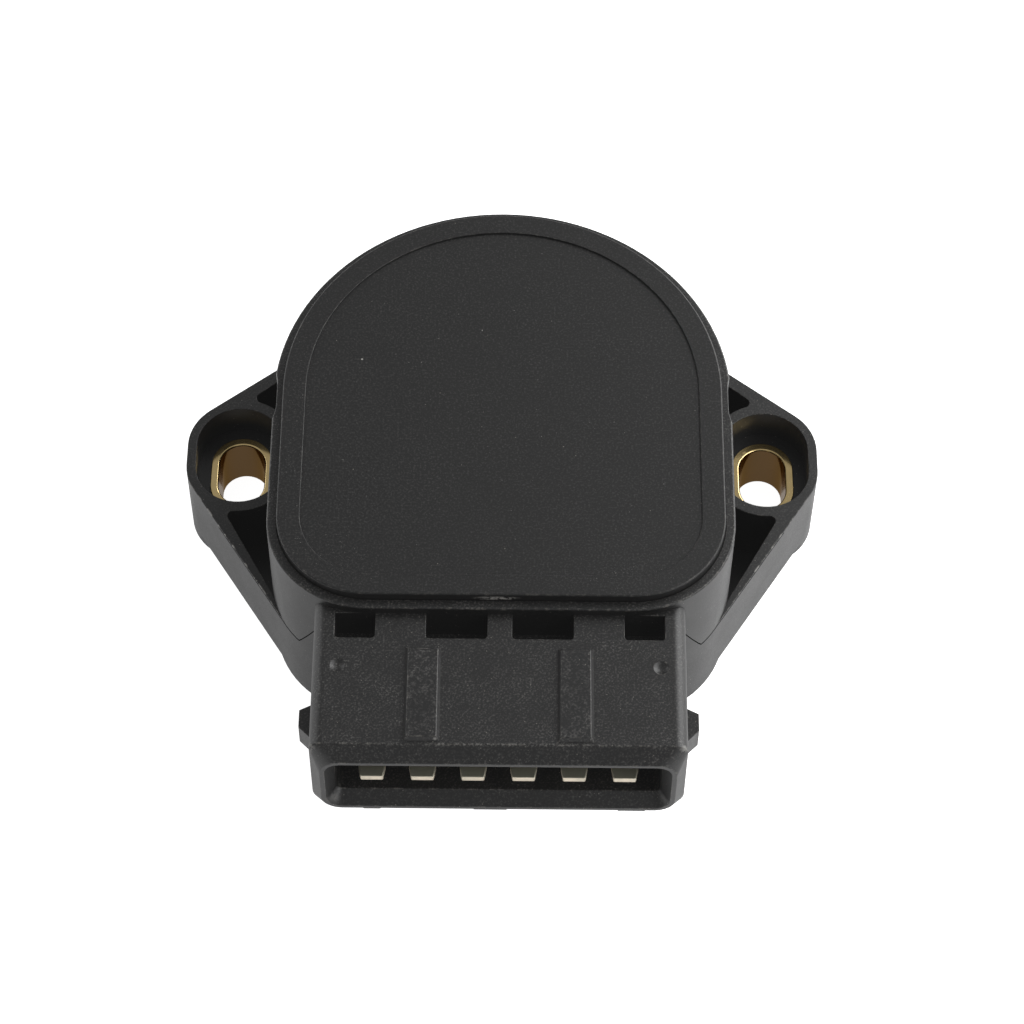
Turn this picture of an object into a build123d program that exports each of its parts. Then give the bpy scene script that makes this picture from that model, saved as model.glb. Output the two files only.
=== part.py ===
from build123d import *
import os
from math import atan2, cos, degrees, radians, sin, sqrt

# Throttle position sensor, in millimetres.
# The origin is where the rotor's axis meets the mounting face. +Z points up through the cover,
# the plug shroud faces -Y and the round end of the case faces +Y.

# Case outline, seen from above: a round end, straight sides and two round front corners
dome_radius = 23.75
front_reach = 25.8
corner_radius = 10.5

# Case section
rim_height = 21.6
wall = 2.6
floor_thickness = 3.2
rim_chamfer = 0.12

# Cover and its seat in the rim
ledge = 1.0
rebate_depth = 0.95
cover_proud = 1.05
cover_gap = 0.04
cover_chamfer = 0.1
field_inset = 2.4
field_depth = 0.22
bead_width = 0.8
bead_depth = 0.5
skirt_height = 1.2
skirt_thickness = 1.0
skirt_gap = 0.12
pivot_boss_radius = 3.6
pivot_boss_height = 2.8
pivot_bore_depth = 2.2

# Ears, with a slot along Y for setting the angle of the sensor
ear_spacing = 56.0
ear_radius = 5.6
ear_height = 10.0
web_underside = 1.2
web_floor = 1.3
pocket_wall = 1.7
pocket_tip_wall = 0.4
pocket_back_wall = 0.8
pocket_boss_wall = 1.2
pocket_corner = 0.6
slot_width = 4.9
slot_length = 7.5
bush_wall = 0.85
bush_height = 6.2
bush_seat_height = 6.0
bush_chamfer = 0.12
head_clearance = 1.3

# Plug shroud
shroud_width = 37.1
shroud_height = 12.25
shroud_reach = 42.0
shroud_drop = 1.0
shroud_top_round = 1.3
shroud_bottom_round = 2.4
mouth_bevel = 1.45
mouth_side_bevel = 1.0
mouth_lip = 0.45
lead_in_width = 0.95
lead_in_depth = 1.5
socket_floor = 29.6
socket_corner = 0.7
lug_reach = 1.35
lug_height = 3.0
lug_length = 2.6
lug_start = 33.65
rib_spacing = 15.1
rib_width = 3.55
rib_height = 0.5
rib_draft = 0.3
rib_start = 29.75
rib_setback = 0.3
dimple_spacing = 32.0
dimple_reach = 31.75
dimple_radius = 0.75
dimple_depth = 0.25
sink_pocket_reach = 28.6
sink_pocket_depth = 4.0
sink_pocket_corner = 0.35
inner_pocket_width = 6.1
inner_pocket_spacing = 8.6
outer_pocket_width = 4.0
outer_pocket_spacing = 28.85

# Blades in the shroud
blade_count = 6
blade_pitch = 5.0
blade_width = 2.65
blade_thickness = 0.8
blade_setback = 0.9
blade_tip_length = 1.2
blade_tip_inset = 0.2
blade_tip_chamfer = 0.08
leg_width = 1.2
leg_reach = 19.2
leg_stand = 0.8

# Bearing boss in the floor, with the seals
hub_radius = 6.0
hub_clearance = 0.05
boss_wall = 2.15
boss_height = 4.8
washer_thickness = 0.5
washer_gap = 0.05
seal_width = 2.3
seal_height = 1.8
hub_recess = 0.4
seal_lip_gap = 0.1
base_seal_radius = 14.5
base_seal_width = 2.0
base_seal_depth = 1.6

# Rotor
rotor_shoulder_height = 2.45
rotor_disc_radius = 13.0
arm_thickness = 2.0
arm_radius = 17.3
arm_half_angle = 20.0
arm_rest_angle = 40.0
rotor_travel = 100.0
stop_margin = 3.0
stop_width = 2.0
pivot_radius = 2.0
pivot_clearance = 0.05
pivot_end_gap = 0.3
drive_bore_radius = 4.0
drive_flat = 3.0
drive_depth = 8.6
sleeve_wall = 1.0

# Track plate on its posts
plate_drop = 5.0
plate_thickness = 1.0
plate_gap = 0.3
plate_hole_radius = 4.6
plate_slot_gap = 0.1
post_radius = 1.5
post_sink = 0.6
post_angles = (18.0, 162.0, 205.0, 335.0)
stake_radius = 0.7
stake_gap = 0.1
stake_stand = 0.5

# Wipers
wiper_strip = 0.2
wiper_finger_width = 0.8
wiper_finger_pitch = 1.3
wiper_finger_count = 3
wiper_base_length = 2.8
wiper_finger_length = 5.0
wiper_tip_length = 0.9
wiper_tip_drop = 0.35
wiper_contact_gap = 0.05
inner_track_radius = 9.8
outer_track_margin = 2.4
peg_radius = 0.5
peg_gap = 0.05
peg_stand = 0.3

# Return spring
spring_wire = 0.7
spring_turns = 3.0
spring_pitch = 1.25
spring_gap = 0.5
spring_floor_gap = 0.3
spring_leg = 5.0
spring_hole_gap = 0.1
spring_post_radius = 1.2

# Worked out from the sizes above
side_x = dome_radius - corner_radius
side_y = front_reach - corner_radius
ear_x = ear_spacing / 2
slot_offset = (slot_length - slot_width) / 2
bush_radius = slot_width / 2 + bush_wall
head_radius = bush_radius + head_clearance
cover_seat = rim_height - rebate_depth
cover_top = rim_height + cover_proud
shroud_top = rim_height - shroud_drop
shroud_middle = shroud_top - shroud_height / 2
shroud_root = front_reach - wall
bevel_start = shroud_reach - mouth_bevel
lead_start = shroud_reach - lead_in_depth
mouth_corner = socket_corner + lead_in_width
dimple_sphere = (dimple_radius**2 + dimple_depth**2) / (2 * dimple_depth)
boss_top = floor_thickness + boss_height
boss_radius = hub_radius + hub_clearance + boss_wall
shoulder_base = boss_top + washer_thickness + washer_gap
arm_base = shoulder_base + rotor_shoulder_height
arm_top = arm_base + arm_thickness
plate_base = rim_height - plate_drop
plate_top = plate_base + plate_thickness
pivot_boss_base = cover_seat - pivot_boss_height
pivot_bore_top = pivot_boss_base + pivot_bore_depth
cavity_radius = dome_radius - wall
stop_radius = (rotor_disc_radius + arm_radius) / 2
outer_track_radius = arm_radius - outer_track_margin
seal_radius = hub_radius + seal_width
sleeve_radius = drive_bore_radius + sleeve_wall
sleeve_top = hub_recess + drive_depth
spring_radius = boss_radius + spring_gap + spring_wire / 2
spring_base = floor_thickness + spring_floor_gap + spring_wire / 2
spring_hole_radius = spring_wire / sqrt(2) + spring_hole_gap


def case_outline(inset=0.0):
    """Outline of the case, moved inwards all round."""
    radius = dome_radius - inset
    corner = corner_radius - inset
    front = front_reach - inset
    edges = [
        CenterArc((0, 0), radius, 0, 180),
        Line((-radius, 0), (-radius, -side_y)),
        CenterArc((-side_x, -side_y), corner, 180, 90),
        Line((-side_x, -front), (side_x, -front)),
        CenterArc((side_x, -side_y), corner, 270, 90),
        Line((radius, -side_y), (radius, 0)),
    ]
    return make_face(edges)


def belt_outline(ear_wall=0.0, corner_wall=0.0, back_wall=0.0):
    """Belt drawn tight round the ears, the front corners and the round end, each moved inwards."""
    rounds = [Circle(dome_radius - back_wall)]
    for side in (-1, 1):
        rounds.append(Pos(side * side_x, -side_y) * Circle(corner_radius - corner_wall))
        for end in (-1, 1):
            rounds.append(Pos(side * ear_x, end * slot_offset) * Circle(ear_radius - ear_wall))
    return make_hull([edge for circle in rounds for edge in circle.edges()])


def ear_slot(side, radius):
    """Slot outline of the given end radius at one ear."""
    return Pos(side * ear_x, 0) * SlotCenterToCenter(2 * slot_offset, 2 * radius, rotation=90)


def raised(sketch, bottom, top):
    """Solid that stands on a flat outline between two heights."""
    return Pos(0, 0, bottom) * extrude(sketch, top - bottom, dir=(0, 0, 1))


def ring(outer, inner, bottom, top):
    """Plain ring about the rotor's axis."""
    return raised(Circle(outer) - Circle(inner), bottom, top)


def disc(radius, bottom, top):
    """Plain disc about the rotor's axis."""
    return raised(Circle(radius), bottom, top)


def polar(radius, angle):
    """Point at a radius and an angle about the rotor's axis."""
    return (radius * cos(radians(angle)), radius * sin(radians(angle)))


def blade_positions():
    """X of each blade, from left to right."""
    first = -(blade_count - 1) / 2 * blade_pitch
    return [first + number * blade_pitch for number in range(blade_count)]


def facing(section, reach):
    """Section turned to face the plug, at a distance in front of the axis."""
    return Plane((0, -reach, shroud_middle), x_dir=(1, 0, 0), z_dir=(0, -1, 0)) * section


def shroud_section(reach):
    """Face of the shroud's full section."""
    section = Rectangle(shroud_width, shroud_height)
    section = fillet(section.vertices().sort_by(Axis.Y)[:2], shroud_bottom_round)
    section = fillet(section.vertices().sort_by(Axis.Y)[-2:], shroud_top_round)
    return facing(section, reach)


def mouth_section(inset, corner, reach):
    """Face with the outline of the shroud's flat front, moved inwards."""
    width = shroud_width - 2 * (mouth_side_bevel + inset)
    height = shroud_height - 2 * (mouth_bevel + inset)
    return facing(RectangleRounded(width, height, corner), reach)


def shroud():
    """Outside of the plug shroud, with its bevelled mouth, ribs and latch lugs."""
    body = extrude(shroud_section(shroud_root), bevel_start - shroud_root, dir=(0, -1, 0))
    front = mouth_section(0, mouth_corner + mouth_lip, shroud_reach)
    body += loft([shroud_section(bevel_start), front], ruled=True)
    rib_end = bevel_start - rib_setback
    slant = degrees(atan2(rib_draft, rib_height))
    for side in (-1, 1):
        foot = Pos(side * rib_spacing / 2, -(rib_start + rib_end) / 2) * Rectangle(rib_width, rib_end - rib_start)
        body += Pos(0, 0, shroud_top) * extrude(foot, rib_height, dir=(0, 0, 1), taper=slant)
        root = side * (shroud_width / 2)
        tip = root + side * lug_reach
        lug = Polygon(
            (root, -lug_start), (tip, -lug_start - lug_reach / 2), (tip, -lug_start - lug_length),
            (root, -lug_start - lug_length - lug_reach), align=None,
        )
        body += raised(lug, shroud_middle - lug_height / 2, shroud_middle + lug_height / 2)
    return body


def shroud_hollows():
    """Socket with its lead-in, and the cored pockets and dimples in the shroud's top."""
    inset = mouth_lip + lead_in_width
    socket = mouth_section(inset, socket_corner, socket_floor)
    hollow = extrude(socket, lead_start - socket_floor, dir=(0, -1, 0))
    inner = mouth_section(inset, socket_corner, lead_start)
    hollow += loft([inner, mouth_section(mouth_lip, mouth_corner, shroud_reach)], ruled=True)
    depth = sink_pocket_reach - front_reach
    for width, spacing in (
        (inner_pocket_width, inner_pocket_spacing), (outer_pocket_width, outer_pocket_spacing)
    ):
        pocket = fillet(Rectangle(width, depth).vertices().sort_by(Axis.Y)[:2], sink_pocket_corner)
        for side in (-1, 1):
            place = Pos(side * spacing / 2, -front_reach - depth / 2)
            hollow += raised(place * pocket, shroud_top - sink_pocket_depth, shroud_top)
    for side in (-1, 1):
        place = Pos(side * dimple_spacing / 2, -dimple_reach, shroud_top - dimple_depth + dimple_sphere)
        hollow += place * Sphere(dimple_sphere)
    return hollow


def ear_pockets():
    """Cored pockets between each ear's outer wall, its bush boss and the case."""
    bosses = case_outline()
    for side in (-1, 1):
        bosses += ear_slot(side, head_radius + pocket_boss_wall)
    room = belt_outline(pocket_wall, pocket_tip_wall, pocket_back_wall) - bosses
    outer_corners = [max(face.vertices(), key=lambda corner: abs(corner.X)) for face in room.faces()]
    return raised(fillet(outer_corners, pocket_corner), web_underside + web_floor, ear_height)


def blade(x):
    """One flat blade with its tapered tip and its bent leg into the track plate."""
    tip = shroud_reach - blade_setback
    half = blade_width / 2
    narrow = half - blade_tip_inset
    plan = Polygon(
        (-half, -leg_reach), (-half, -tip + blade_tip_length), (-narrow, -tip),
        (narrow, -tip), (half, -tip + blade_tip_length), (half, -leg_reach), align=None,
    )
    bottom = shroud_middle - blade_thickness / 2
    top = shroud_middle + blade_thickness / 2
    strip = raised(plan, bottom, top)
    ends = strip.faces().sort_by(Axis.Y)[0].edges().filter_by(Axis.X)
    strip = chamfer(ends, blade_tip_chamfer)
    leg = Pos(0, -leg_reach - blade_thickness / 2) * Rectangle(leg_width, blade_thickness)
    return Pos(x) * (strip + raised(leg, top, plate_top + leg_stand))


def blade_slot(x):
    """Slot that a blade fills where it is moulded into the case."""
    length = socket_floor - shroud_root + wall
    plan = Pos(x, -shroud_root + wall - length / 2) * Rectangle(blade_width, length)
    return raised(plan, shroud_middle - blade_thickness / 2, shroud_middle + blade_thickness / 2)


def post_places():
    """Centres of the plate's posts, sunk a little into the case wall."""
    places = []
    for angle in post_angles:
        places.append(polar(cavity_radius - post_radius + post_sink, angle))
    return places


def stop_rib(angle):
    """Rib on the case wall that the rotor's arm stops against."""
    length = dome_radius - wall / 2 - stop_radius
    plan = Rot(0, 0, angle) * Pos(stop_radius + length / 2, 0) * Rectangle(length, stop_width)
    return raised(plan, floor_thickness, arm_top)


def stop_angles():
    """Angles of the two stop ribs, just past the ends of the arm's travel."""
    half_rib = degrees(atan2(stop_width / 2, stop_radius))
    past = arm_half_angle + stop_margin + half_rib
    return (arm_rest_angle - past, arm_rest_angle + rotor_travel + past)


def spring_anchor():
    """Centre of the floor post that holds the spring's lower leg."""
    return (spring_radius + spring_wire / 2 + spring_post_radius, -spring_leg)


def housing():
    """Moulded case with its ears, bearing boss, posts and plug shroud."""
    body = raised(case_outline(), 0, rim_height - rim_chamfer)
    body += loft(
        [
            Pos(0, 0, rim_height - rim_chamfer) * case_outline(),
            Pos(0, 0, rim_height) * case_outline(rim_chamfer),
        ],
        ruled=True,
    )
    body += raised(belt_outline(), web_underside, ear_height)
    for side in (-1, 1):
        body += raised(ear_slot(side, ear_radius), 0, web_underside)
    body += shroud()
    body -= ear_pockets()
    for side in (-1, 1):
        body -= raised(ear_slot(side, head_radius), bush_seat_height, cover_top)
        body -= raised(ear_slot(side, bush_radius), 0, bush_seat_height)
    body -= shroud_hollows()

    inside = raised(case_outline(wall), floor_thickness, rim_height)
    inside -= disc(boss_radius, floor_thickness, boss_top)
    for angle in stop_angles():
        inside -= stop_rib(angle)
    for x, y in post_places():
        inside -= raised(Pos(x, y) * Circle(post_radius), floor_thickness, plate_base)
        inside -= raised(Pos(x, y) * Circle(stake_radius), plate_base, plate_top + stake_stand)
    anchor = Pos(*spring_anchor()) * Circle(spring_post_radius)
    inside -= raised(anchor, floor_thickness, spring_base + spring_wire)
    body -= inside
    body -= raised(case_outline(ledge), cover_seat, rim_height)
    middle = (ledge + wall) / 2
    bead = case_outline(middle - bead_width / 2) - case_outline(middle + bead_width / 2)
    body -= raised(bead, cover_seat - bead_depth, cover_seat)
    for x in blade_positions():
        body -= blade_slot(x)
    body -= disc(hub_radius + hub_clearance, 0, boss_top)
    body -= disc(seal_radius, 0, hub_recess + seal_height)
    body -= ring(base_seal_radius + base_seal_width, base_seal_radius, 0, base_seal_depth)
    return body


def cover():
    """Lid with its sunk field, the skirt inside the case wall and the rotor's upper bearing."""
    edge = ledge + cover_gap
    body = raised(case_outline(edge), cover_seat, cover_top - cover_chamfer)
    body += loft(
        [
            Pos(0, 0, cover_top - cover_chamfer) * case_outline(edge),
            Pos(0, 0, cover_top) * case_outline(edge + cover_chamfer),
        ],
        ruled=True,
    )
    body -= raised(case_outline(ledge + field_inset), cover_top - field_depth, cover_top)
    skirt_inset = wall + skirt_gap
    skirt = case_outline(skirt_inset) - case_outline(skirt_inset + skirt_thickness)
    body += raised(skirt, cover_seat - skirt_height, cover_seat)
    body += disc(pivot_boss_radius, pivot_boss_base, cover_seat)
    body -= disc(pivot_radius + pivot_clearance, pivot_boss_base, pivot_bore_top)
    return body


def cover_bead():
    """Sealing bead that fills the groove under the cover's edge."""
    middle = (ledge + wall) / 2
    bead = case_outline(middle - bead_width / 2) - case_outline(middle + bead_width / 2)
    return raised(bead, cover_seat - bead_depth, cover_seat)


def bush(side):
    """Slotted sleeve in one ear, with a chamfered mouth."""
    body = raised(ear_slot(side, bush_radius) - ear_slot(side, slot_width / 2), 0, bush_height)
    mouth = body.faces().sort_by(Axis.Z)[-1].inner_wires()[0].edges()
    return chamfer(mouth, bush_chamfer)


def track_plate():
    """Plate that carries the resistance tracks, on the case's posts."""
    plan = case_outline(wall + plate_gap) - Circle(plate_hole_radius)
    for x in blade_positions():
        place = Pos(x, -leg_reach - blade_thickness / 2)
        plan -= place * Rectangle(leg_width + 2 * plate_slot_gap, blade_thickness + 2 * plate_slot_gap)
    for x, y in post_places():
        plan -= Pos(x, y) * Circle(stake_radius + stake_gap)
    return raised(plan, plate_base, plate_top)


def arm_outline():
    """Sector arm of the rotor at rest, from the axis outwards."""
    sector = make_face(
        [
            Line((0, 0), polar(arm_radius, -arm_half_angle)),
            CenterArc((0, 0), arm_radius, -arm_half_angle, 2 * arm_half_angle),
            Line(polar(arm_radius, arm_half_angle), (0, 0)),
        ]
    )
    return Rot(0, 0, arm_rest_angle) * sector


def wiper_places():
    """Where each wiper's base sits on the arm: its turn about the axis and its step outwards."""
    return [Rot(0, 0, arm_rest_angle) * Pos(radius) for radius in (inner_track_radius, outer_track_radius)]


def spring_hole_place():
    """Where the spring's upper leg stands, at the end of the last turn."""
    turn = (spring_turns % 1.0) * 360
    return polar(spring_radius, turn)


def rotor():
    """Rotor with its hub, shoulder, sector arm and upper pivot."""
    body = disc(hub_radius, hub_recess, shoulder_base)
    body += disc(boss_radius, shoulder_base, arm_base)
    body += raised(Circle(rotor_disc_radius) + arm_outline(), arm_base, arm_top)
    body += disc(pivot_radius, arm_top, pivot_bore_top - pivot_end_gap)
    body -= disc(sleeve_radius, hub_recess, sleeve_top)
    hole = Pos(*spring_hole_place()) * Circle(spring_hole_radius)
    body -= raised(hole, arm_base, arm_top)
    for place in wiper_places():
        body += place * disc(peg_radius, arm_top, arm_top + wiper_strip + peg_stand)
    return body


def drive_sleeve():
    """Metal sleeve with the D-shaped socket for the throttle shaft."""
    bore = Circle(drive_bore_radius)
    bore -= Pos(0, drive_flat + drive_bore_radius) * Rectangle(2 * drive_bore_radius, 2 * drive_bore_radius)
    return raised(Circle(sleeve_radius) - bore, hub_recess, sleeve_top)


def wiper(place):
    """Sprung brush: a flat base with a row of fingers that rise to the tracks."""
    rise = plate_base - wiper_contact_gap - arm_top - wiper_strip
    start = wiper_base_length / 2
    top = [
        (start, 0), (start + wiper_finger_length, rise),
        (start + wiper_finger_length + wiper_tip_length, rise - wiper_tip_drop),
    ]
    bottom = [(y, z - wiper_strip) for y, z in reversed(top)]
    profile = Plane.YZ * Polygon(*[(y, z + wiper_strip) for y, z in top + bottom], align=None)
    width = (wiper_finger_count - 1) * wiper_finger_pitch + wiper_finger_width
    base = Rectangle(width, wiper_base_length) - Circle(peg_radius + peg_gap)
    body = raised(base, 0, wiper_strip)
    for number in range(wiper_finger_count):
        offset_x = (number - (wiper_finger_count - 1) / 2) * wiper_finger_pitch
        body += Pos(offset_x) * extrude(profile, wiper_finger_width / 2, both=True)
    return place * Pos(0, 0, arm_top) * body


def return_spring():
    """Torsion spring of square wire round the bearing boss, with a leg at each end."""
    helix = Pos(0, 0, spring_base) * Helix(spring_pitch, spring_turns * spring_pitch, spring_radius)
    wire = Rectangle(spring_wire, spring_wire)
    start = Plane(helix @ 0, x_dir=(1, 0, 0), z_dir=helix % 0)
    body = sweep(start * wire, path=helix, is_frenet=True)
    overlap = spring_wire / 2
    body += extrude(start.offset(overlap) * wire, -spring_leg - overlap)
    body += raised(Pos(*spring_hole_place()) * wire, (helix @ 1).Z, arm_top - peg_stand)
    return body


def save(shape, name):
    """Writes one piece to its own file."""
    export_step(shape, os.path.join("parts", name + ".step"))


os.makedirs("parts", exist_ok=True)
save(housing(), "housing")
save(cover(), "cover")
save(cover_bead(), "cover_bead")
save(bush(-1), "left_bush")
save(bush(1), "right_bush")
for number, x in enumerate(blade_positions(), start=1):
    save(blade(x), f"terminal_{number}")
save(track_plate(), "track_plate")
save(rotor(), "rotor")
save(drive_sleeve(), "drive_sleeve")
for name, place in zip(("wiper_inner", "wiper_outer"), wiper_places()):
    save(wiper(place), name)
save(return_spring(), "return_spring")
save(ring(boss_radius, hub_radius + hub_clearance, boss_top, boss_top + washer_thickness), "thrust_washer")
save(ring(seal_radius, hub_radius + seal_lip_gap, hub_recess, hub_recess + seal_height), "shaft_seal")
save(ring(base_seal_radius + base_seal_width, base_seal_radius, 0, base_seal_depth), "base_seal")
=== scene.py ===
"""Looks of a throttle position sensor: moulded case, lid, metalwork and works, on a white studio floor."""
from __future__ import annotations

import logging
import math
from dataclasses import dataclass, field
from enum import Enum
from typing import Any

import bmesh
import bpy
from mathutils import Matrix, Vector


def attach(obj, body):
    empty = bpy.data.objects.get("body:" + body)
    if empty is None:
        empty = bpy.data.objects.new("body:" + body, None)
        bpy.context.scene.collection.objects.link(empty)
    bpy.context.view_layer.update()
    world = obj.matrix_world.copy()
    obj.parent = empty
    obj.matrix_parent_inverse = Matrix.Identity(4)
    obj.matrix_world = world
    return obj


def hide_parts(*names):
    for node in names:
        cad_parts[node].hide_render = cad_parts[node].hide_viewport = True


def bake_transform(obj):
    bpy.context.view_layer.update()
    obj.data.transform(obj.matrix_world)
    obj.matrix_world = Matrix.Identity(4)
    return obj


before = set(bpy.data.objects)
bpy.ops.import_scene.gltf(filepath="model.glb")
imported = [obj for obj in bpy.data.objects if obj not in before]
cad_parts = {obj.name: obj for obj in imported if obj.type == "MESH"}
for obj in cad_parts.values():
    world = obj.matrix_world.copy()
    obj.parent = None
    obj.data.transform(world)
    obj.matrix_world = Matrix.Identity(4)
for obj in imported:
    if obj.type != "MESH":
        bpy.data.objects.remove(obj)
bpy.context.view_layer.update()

log = logging.getLogger("sensor")

MM = 0.001
EDGE_LAYER = "rounded_edge"
WHITE = (1.0, 1.0, 1.0, 1.0)
BLACK = (0.0, 0.0, 0.0, 1.0)

# Most values of a noise texture lie between these two.
NOISE_LOW = 0.3
NOISE_HIGH = 0.7

# The Mix node has one set of sockets for numbers and one for colours.
NUMBER_A, NUMBER_B, NUMBER_OUT = 2, 3, 0
COLOUR_A, COLOUR_B, COLOUR_OUT = 6, 7, 2

Span = tuple[float, float]
Point = tuple[float, float, float]
Tree = bpy.types.NodeTree
Socket = bpy.types.NodeSocket


class Body(Enum):
    """The two bodies that pieces ride on."""

    CASE = "case"
    ROTOR = "rotor"


def linear(hex_colour: str) -> tuple[float, float, float, float]:
    """Turns an sRGB hex colour into linear values.

    Args:
        hex_colour: Colour as six hex digits after a hash.

    Returns:
        Linear red, green, blue and a full alpha.
    """
    parts = [int(hex_colour[place:place + 2], 16) / 255 for place in (1, 3, 5)]
    red, green, blue = [
        part / 12.92 if part <= 0.04045 else ((part + 0.055) / 1.055) ** 2.4
        for part in parts
    ]
    return (red, green, blue, 1.0)


def per_metre(size_mm: float) -> float:
    """Texture scale whose features are about this many millimetres across."""
    return 1 / (size_mm * MM)


def add_node(tree: Tree, kind: str, inputs: dict[Any, Any] | None = None, **settings: Any) -> bpy.types.Node:
    """Adds a node with its settings, values and links.

    Args:
        tree: Node tree that takes the node.
        kind: Blender's name for the node's type.
        inputs: A value or another node's output for each input, by name or number.
        settings: Properties of the node.

    Returns:
        The new node.
    """
    node = tree.nodes.new(kind)
    for name, value in settings.items():
        setattr(node, name, value)
    for key, value in (inputs or {}).items():
        if isinstance(value, Socket):
            tree.links.new(value, node.inputs[key])
        else:
            node.inputs[key].default_value = value
    return node


def new_material(name: str) -> tuple[bpy.types.Material, Tree]:
    """Makes an empty material.

    Args:
        name: Name of the material.

    Returns:
        The material and its node tree.
    """
    material = bpy.data.materials.new(name)
    material.use_nodes = True
    material.node_tree.nodes.clear()
    return material, material.node_tree


def add_surface(tree: Tree, inputs: dict[Any, Any]) -> None:
    """Adds the main shader and the output of a material."""
    shader = add_node(tree, "ShaderNodeBsdfPrincipled", inputs)
    add_node(tree, "ShaderNodeOutputMaterial", {"Surface": shader.outputs["BSDF"]})


@dataclass(frozen=True)
class Mark:
    """Pale mark on a moulding: a scuff, a patch of dust, or a painted highlight.

    Attributes:
        place_mm: Centre of the mark.
        half_mm: Half its size along each axis.
        strength: How much of the surface it covers at its middle.
        grain_mm: Size of its grains.
        thin: Share of the noise that stays bare, from 0 to 1.
        turn_deg: Turn of the mark about the vertical.
        core: Share of its half size within which it keeps its strength.
        fade: Share of the noise over which a grain grows to its full strength.
    """

    place_mm: Point
    half_mm: Point
    strength: float
    grain_mm: float = 0.2
    thin: float = 0.42
    turn_deg: float = 0.0
    core: float = 0.3
    fade: float = 0.12


@dataclass(frozen=True)
class SeamShade:
    """Painted shade along the mould's parting line round the front of the ears, rising towards the shroud.

    Attributes:
        height_mm: Height of its level part.
        turn_x_mm: Distance from the middle where it starts to rise.
        end_x_mm: Distance from the middle where it meets the shroud.
        slope: Rise for each millimetre towards the middle.
        behind_mm: Y where it ends at the ears.
        front_mm: Y where it ends at the shroud.
        ear_turn_deg: Turn of the ear's front wall from the X axis.
        ear_reach_mm: Least distance from the shaft axis, square to that wall, that lies outside its pocket.
        corner_mm: Y in front of which the corner of the case lies outside the pocket.
        half_width_mm: Half the width of the line.
        roughness: Roughness in the line.
        specular: Specular level of the surface beside the line, which has none.
    """

    height_mm: float = 9.74
    turn_x_mm: float = 20.7
    end_x_mm: float = 18.7
    slope: float = 2.45
    behind_mm: float = -9.0
    front_mm: float = -27.0
    ear_turn_deg: float = 57.5
    ear_reach_mm: float = 29.4
    corner_mm: float = -22.4
    half_width_mm: float = 0.15
    roughness: float = 1.0
    specular: float = 0.5


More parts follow.
